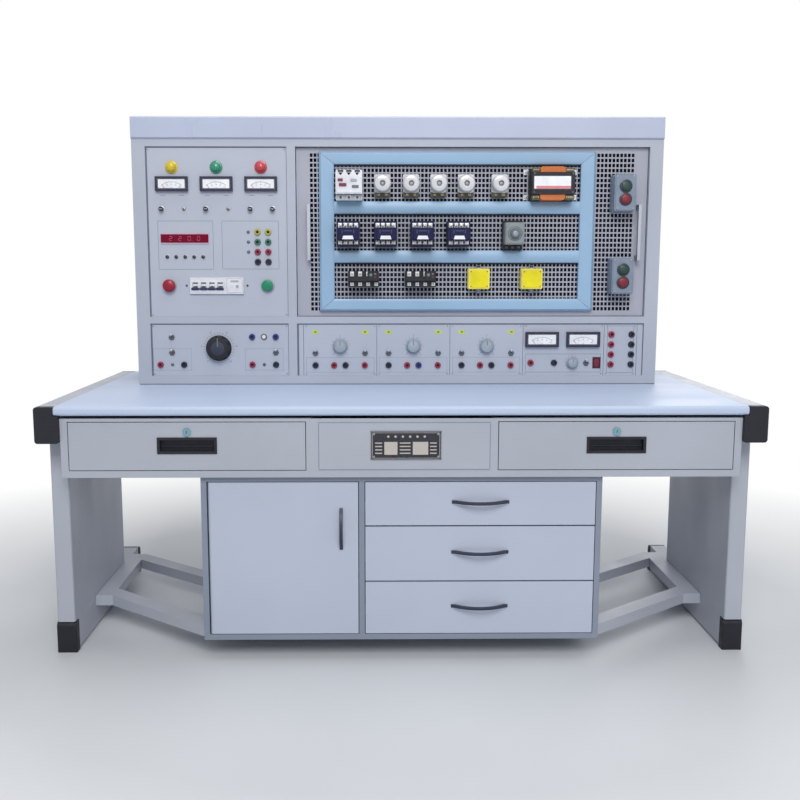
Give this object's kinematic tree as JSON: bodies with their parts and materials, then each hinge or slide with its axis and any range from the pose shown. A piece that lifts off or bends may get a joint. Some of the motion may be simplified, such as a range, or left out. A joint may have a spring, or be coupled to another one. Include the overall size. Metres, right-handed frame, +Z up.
{
  "type": "electrical control training bench",
  "caption": "Steel workbench with drawers and cabinet under an instrument console with meters, sockets, knobs and a pull-out device board.",
  "frame": {"origin": "on the floor under the middle of the bench", "axes": "+X to the user's right, +Y away from the user towards the rear cover, +Z up"},
  "size_m": [1.9, 0.82, 1.496],
  "materials": {
    "body_paint": "semi-gloss",
    "cabinet_paint": "painted board, satin",
    "console_paint": "semi-gloss",
    "panel_paint": "matte",
    "tabletop_laminate": "laminate-faced board, satin",
    "black_plastic": "matte",
    "black_gloss": "gloss",
    "white_plastic": "gloss",
    "grey_plastic": "satin",
    "blue_frame": "satin",
    "blue_plastic": "gloss",
    "red_plastic": "gloss",
    "green_plastic": "gloss",
    "yellow_plastic": "gloss",
    "porcelain": "glazed",
    "bright_metal": "polished",
    "zinc_steel": "zinc plated",
    "lamp_plastic": "translucent",
    "core_steel": "laminated",
    "circuit_board": "satin"
  },
  "bodies": {
    "bench": {"side_beams": "body_paint", "end_caps": "black_plastic", "leg_columns": "body_paint", "foot_beams": "body_paint", "tabletop": "tabletop_laminate", "apron_frame": "body_paint", "nameplate": "black_gloss", "slide_rails": "zinc_steel", "cabinet_carcass": "cabinet_paint", "footrest_frames": "body_paint", "console_shell": "console_paint", "console_front_frame": "console_paint", "header_fascia": "console_paint", "rear_cover": "console_paint", "mains_inlet": "black_plastic", "power_panels": "panel_paint", "module_panels": "panel_paint", "panel_meters": "black_gloss", "indicator_lamps": "lamp_plastic", "socket_terminals": "black_gloss", "display_unit": "black_gloss", "panel_switches": "bright_metal", "circuit_breaker": "white_plastic", "isolating_transformer": "core_steel", "autotransformer": "core_steel", "supply_board": "circuit_board"},
    "device_board": {"mesh_board": "zinc_steel", "board_frame": "blue_frame", "board_handles": "zinc_steel", "din_rails": "zinc_steel", "motor_breaker": "white_plastic", "screw_fuses": "porcelain", "board_transformer": "core_steel", "contactors": "blue_plastic", "timer_relay": "grey_plastic", "thermal_relays": "black_gloss", "limit_switches": "yellow_plastic", "button_stations": "grey_plastic"},
    "apron_drawer_left": {"apron_drawer_left": "body_paint"},
    "apron_drawer_right": {"apron_drawer_right": "body_paint"},
    "drawer_lock_left": {"drawer_lock_left": "bright_metal"},
    "drawer_lock_right": {"drawer_lock_right": "bright_metal"},
    "cabinet_door": {"cabinet_door": "cabinet_paint"},
    "cabinet_drawer_top": {"cabinet_drawer_top": "cabinet_paint"},
    "cabinet_drawer_middle": {"cabinet_drawer_middle": "cabinet_paint"},
    "cabinet_drawer_bottom": {"cabinet_drawer_bottom": "cabinet_paint"},
    "stop_button": {"stop_button": "red_plastic"},
    "start_button": {"start_button": "green_plastic"},
    "breaker_levers": {"breaker_levers": "blue_plastic"},
    "regulator_knob": {"regulator_knob": "black_plastic"},
    "module_knob_left": {"module_knob_left": "grey_plastic"},
    "module_knob_middle": {"module_knob_middle": "grey_plastic"},
    "module_knob_right": {"module_knob_right": "grey_plastic"},
    "output_knob": {"output_knob": "grey_plastic"},
    "rocker_switch": {"rocker_switch": "red_plastic"},
    "station_upper_start": {"station_upper_start": "green_plastic"},
    "station_upper_stop": {"station_upper_stop": "red_plastic"},
    "station_lower_start": {"station_lower_start": "green_plastic"},
    "station_lower_stop": {"station_lower_stop": "red_plastic"},
    "timer_dial": {"timer_dial": "grey_plastic"}
  },
  "joints": [
    {"name": "apron_drawer_left_slide", "type": "slide", "parent": "bench", "child": "apron_drawer_left", "axis": [0, -1, 0], "range_m": [0, 0.3]},
    {"name": "apron_drawer_right_slide", "type": "slide", "parent": "bench", "child": "apron_drawer_right", "axis": [0, -1, 0], "range_m": [0, 0.3]},
    {"name": "cabinet_drawer_top_slide", "type": "slide", "parent": "bench", "child": "cabinet_drawer_top", "axis": [0, -1, 0], "range_m": [0, 0.3]},
    {"name": "cabinet_drawer_middle_slide", "type": "slide", "parent": "bench", "child": "cabinet_drawer_middle", "axis": [0, -1, 0], "range_m": [0, 0.3]},
    {"name": "cabinet_drawer_bottom_slide", "type": "slide", "parent": "bench", "child": "cabinet_drawer_bottom", "axis": [0, -1, 0], "range_m": [0, 0.3]},
    {"name": "device_board_slide", "type": "slide", "parent": "bench", "child": "device_board", "axis": [0, -1, 0], "range_m": [0, 0.2]},
    {"name": "drawer_lock_left_turn", "type": "hinge", "parent": "apron_drawer_left", "child": "drawer_lock_left", "pos_m": [-0.559, -0.398, 0.629], "axis": [0, -1, 0], "range_deg": [0, 90]},
    {"name": "drawer_lock_right_turn", "type": "hinge", "parent": "apron_drawer_right", "child": "drawer_lock_right", "pos_m": [0.559, -0.398, 0.629], "axis": [0, -1, 0], "range_deg": [0, 90]},
    {"name": "cabinet_door_hinge", "type": "hinge", "parent": "bench", "child": "cabinet_door", "pos_m": [-0.504, -0.373, 0.28], "axis": [0, 0, -1], "range_deg": [0, 95]},
    {"name": "stop_button_press", "type": "slide", "parent": "bench", "child": "stop_button", "axis": [0, 1, 0], "range_m": [0, 0.004], "stiffness_N_per_m": 300},
    {"name": "start_button_press", "type": "slide", "parent": "bench", "child": "start_button", "axis": [0, 1, 0], "range_m": [0, 0.004], "stiffness_N_per_m": 300},
    {"name": "breaker_levers_throw", "type": "hinge", "parent": "bench", "child": "breaker_levers", "pos_m": [-0.575, 0.0496, 0.998], "axis": [-1, 0, 0], "range_deg": [0, 70]},
    {"name": "regulator_knob_turn", "type": "hinge", "parent": "bench", "child": "regulator_knob", "pos_m": [-0.547, 0.049, 0.808], "axis": [0, -1, 0], "range_deg": [-150, 150]},
    {"name": "module_knob_left_turn", "type": "hinge", "parent": "bench", "child": "module_knob_left", "pos_m": [-0.176, 0.049, 0.814], "axis": [0, -1, 0], "range_deg": [-140, 140]},
    {"name": "module_knob_middle_turn", "type": "hinge", "parent": "bench", "child": "module_knob_middle", "pos_m": [0.048, 0.049, 0.814], "axis": [0, -1, 0], "range_deg": [-140, 140]},
    {"name": "module_knob_right_turn", "type": "hinge", "parent": "bench", "child": "module_knob_right", "pos_m": [0.272, 0.049, 0.814], "axis": [0, -1, 0], "range_deg": [-140, 140]},
    {"name": "output_knob_turn", "type": "hinge", "parent": "bench", "child": "output_knob", "pos_m": [0.5365, 0.049, 0.762], "axis": [0, -1, 0], "range_deg": [-140, 140]},
    {"name": "rocker_switch_tip", "type": "hinge", "parent": "bench", "child": "rocker_switch", "pos_m": [0.6115, 0.052, 0.762], "axis": [-1, 0, 0], "range_deg": [0, 18]},
    {"name": "station_upper_start_press", "type": "slide", "parent": "device_board", "child": "station_upper_start", "axis": [0, 1, 0], "range_m": [0, 0.004], "stiffness_N_per_m": 300},
    {"name": "station_upper_stop_press", "type": "slide", "parent": "device_board", "child": "station_upper_stop", "axis": [0, 1, 0], "range_m": [0, 0.004], "stiffness_N_per_m": 300},
    {"name": "station_lower_start_press", "type": "slide", "parent": "device_board", "child": "station_lower_start", "axis": [0, 1, 0], "range_m": [0, 0.004], "stiffness_N_per_m": 300},
    {"name": "station_lower_stop_press", "type": "slide", "parent": "device_board", "child": "station_lower_stop", "axis": [0, 1, 0], "range_m": [0, 0.004], "stiffness_N_per_m": 300},
    {"name": "timer_dial_turn", "type": "hinge", "parent": "device_board", "child": "timer_dial", "pos_m": [0.3435, -0.0185, 1.152], "axis": [0, -1, 0], "range_deg": [-135, 135]}
  ]
}
